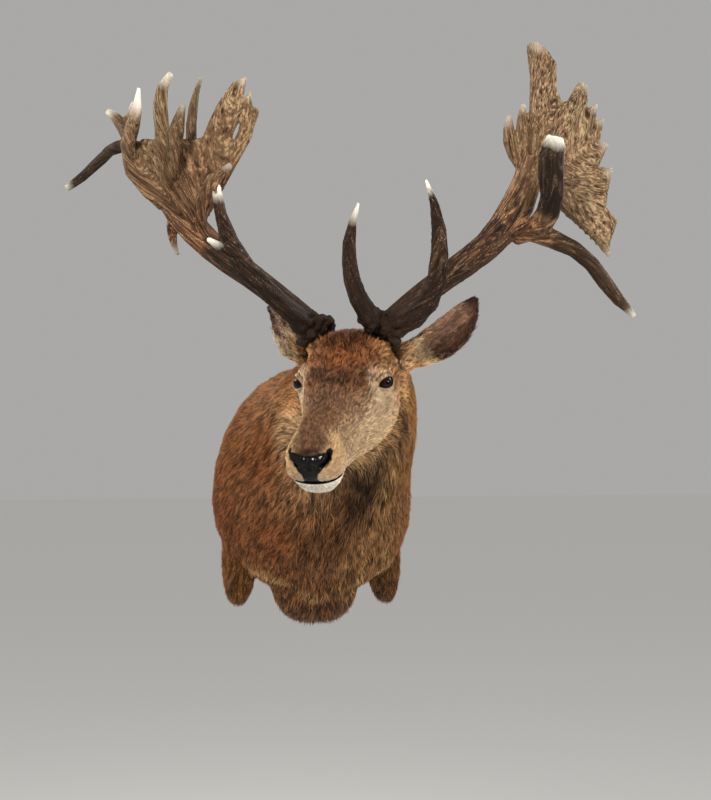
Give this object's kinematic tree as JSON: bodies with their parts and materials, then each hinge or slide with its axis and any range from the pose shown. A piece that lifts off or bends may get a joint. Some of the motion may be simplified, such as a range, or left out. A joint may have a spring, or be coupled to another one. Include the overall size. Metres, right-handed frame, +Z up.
{
  "type": "red deer stag head mount",
  "caption": "Wall-hung shoulder mount of a red deer stag, head turned to its right, with broad palmated antlers.",
  "frame": {"origin": "middle of the flat back of the board, on the wall", "axes": "+Y into the wall, +Z up, the stag looks along -Y and its left side is +X"},
  "size_m": [1.129, 0.765, 1.1806],
  "materials": {
    "coat": "short dense hair, rufous brown",
    "eye": "dark brown glass",
    "antler": "grooved bone, brown with pale tips",
    "board": "plain stained wood"
  },
  "bodies": {
    "root": {"trunk": "coat", "neck": "coat", "head": "coat", "leg_left": "coat", "leg_right": "coat", "ear_left": "coat", "ear_right": "coat", "eye_left": "eye", "eye_right": "eye", "backboard": "board", "antler_left_beam": "antler", "antler_left_crown": "antler", "antler_left_brow": "antler", "antler_left_bez": "antler", "antler_left_trez": "antler", "antler_left_drop": "antler", "antler_right_beam": "antler", "antler_right_crown": "antler", "antler_right_brow": "antler", "antler_right_crown_a": "antler", "antler_right_crown_b": "antler", "antler_right_crown_c": "antler", "antler_right_crown_d": "antler", "antler_right_drop": "antler", "antler_right_back": "antler"}
  },
  "joints": []
}
